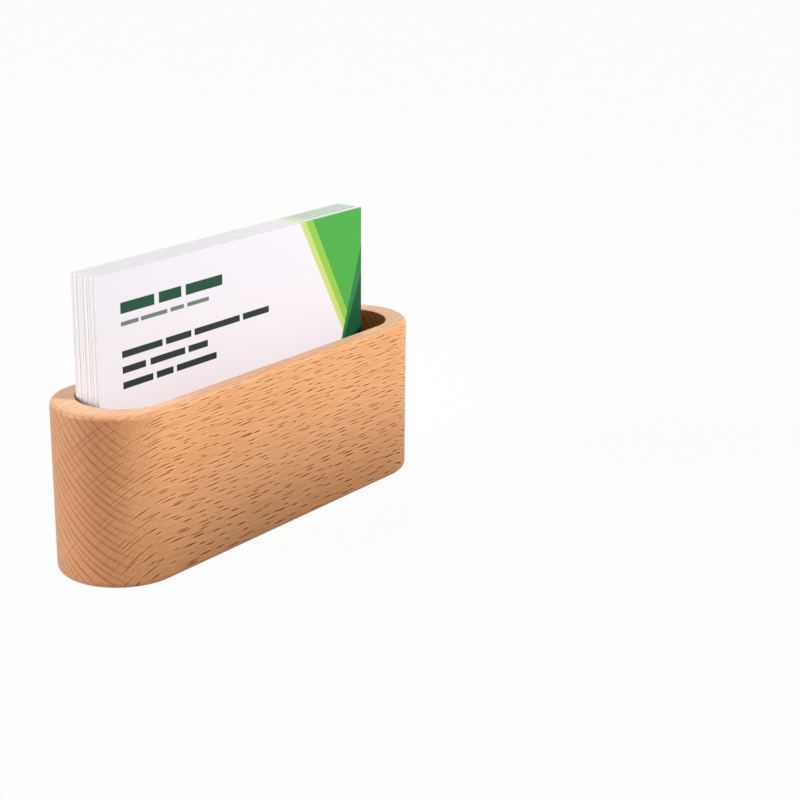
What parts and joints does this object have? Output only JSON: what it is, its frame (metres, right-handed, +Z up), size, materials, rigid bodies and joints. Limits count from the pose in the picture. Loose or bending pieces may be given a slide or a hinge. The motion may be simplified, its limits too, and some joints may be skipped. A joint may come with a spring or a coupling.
{
  "type": "business card holder stand",
  "caption": "Desk stand for business cards: a round-ended beech block with a milled pocket, and a stack of printed cards standing on edge in it, each free to be lifted out.",
  "frame": {"origin": "centre of the block's base, on the surface that it stands on", "axes": "+X along the block's length, -Y towards the front, where the printed faces look, +Z up"},
  "size_m": [0.108, 0.028, 0.0645],
  "materials": {
    "beech": "fine sanded, oiled to a low satin",
    "card_stock": "smooth matt coated white board with a plain printed design on the front"
  },
  "bodies": {
    "block": {"beech_block": "beech"},
    "card_01": {"card_01": "card_stock"},
    "card_02": {"card_02": "card_stock"},
    "card_03": {"card_03": "card_stock"},
    "card_04": {"card_04": "card_stock"},
    "card_05": {"card_05": "card_stock"},
    "card_06": {"card_06": "card_stock"},
    "card_07": {"card_07": "card_stock"},
    "card_08": {"card_08": "card_stock"},
    "card_09": {"card_09": "card_stock"},
    "card_10": {"card_10": "card_stock"},
    "card_11": {"card_11": "card_stock"},
    "card_12": {"card_12": "card_stock"},
    "card_13": {"card_13": "card_stock"},
    "card_14": {"card_14": "card_stock"},
    "card_15": {"card_15": "card_stock"},
    "card_16": {"card_16": "card_stock"},
    "card_17": {"card_17": "card_stock"},
    "card_18": {"card_18": "card_stock"},
    "card_19": {"card_19": "card_stock"},
    "card_20": {"card_20": "card_stock"}
  },
  "joints": [
    {"name": "card_01_lift", "type": "slide", "parent": "block", "child": "card_01", "axis": [0, 0, 1], "range_m": [0, 0.06]},
    {"name": "card_02_lift", "type": "slide", "parent": "block", "child": "card_02", "axis": [0, 0, 1], "range_m": [0, 0.06]},
    {"name": "card_03_lift", "type": "slide", "parent": "block", "child": "card_03", "axis": [0, 0, 1], "range_m": [0, 0.06]},
    {"name": "card_04_lift", "type": "slide", "parent": "block", "child": "card_04", "axis": [0, 0, 1], "range_m": [0, 0.06]},
    {"name": "card_05_lift", "type": "slide", "parent": "block", "child": "card_05", "axis": [0, 0, 1], "range_m": [0, 0.06]},
    {"name": "card_06_lift", "type": "slide", "parent": "block", "child": "card_06", "axis": [0, 0, 1], "range_m": [0, 0.06]},
    {"name": "card_07_lift", "type": "slide", "parent": "block", "child": "card_07", "axis": [0, 0, 1], "range_m": [0, 0.06]},
    {"name": "card_08_lift", "type": "slide", "parent": "block", "child": "card_08", "axis": [0, 0, 1], "range_m": [0, 0.06]},
    {"name": "card_09_lift", "type": "slide", "parent": "block", "child": "card_09", "axis": [0, 0, 1], "range_m": [0, 0.06]},
    {"name": "card_10_lift", "type": "slide", "parent": "block", "child": "card_10", "axis": [0, 0, 1], "range_m": [0, 0.06]},
    {"name": "card_11_lift", "type": "slide", "parent": "block", "child": "card_11", "axis": [0, 0, 1], "range_m": [0, 0.06]},
    {"name": "card_12_lift", "type": "slide", "parent": "block", "child": "card_12", "axis": [0, 0, 1], "range_m": [0, 0.06]},
    {"name": "card_13_lift", "type": "slide", "parent": "block", "child": "card_13", "axis": [0, 0, 1], "range_m": [0, 0.06]},
    {"name": "card_14_lift", "type": "slide", "parent": "block", "child": "card_14", "axis": [0, 0, 1], "range_m": [0, 0.06]},
    {"name": "card_15_lift", "type": "slide", "parent": "block", "child": "card_15", "axis": [0, 0, 1], "range_m": [0, 0.06]},
    {"name": "card_16_lift", "type": "slide", "parent": "block", "child": "card_16", "axis": [0, 0, 1], "range_m": [0, 0.06]},
    {"name": "card_17_lift", "type": "slide", "parent": "block", "child": "card_17", "axis": [0, 0, 1], "range_m": [0, 0.06]},
    {"name": "card_18_lift", "type": "slide", "parent": "block", "child": "card_18", "axis": [0, 0, 1], "range_m": [0, 0.06]},
    {"name": "card_19_lift", "type": "slide", "parent": "block", "child": "card_19", "axis": [0, 0, 1], "range_m": [0, 0.06]},
    {"name": "card_20_lift", "type": "slide", "parent": "block", "child": "card_20", "axis": [0, 0, 1], "range_m": [0, 0.06]}
  ]
}
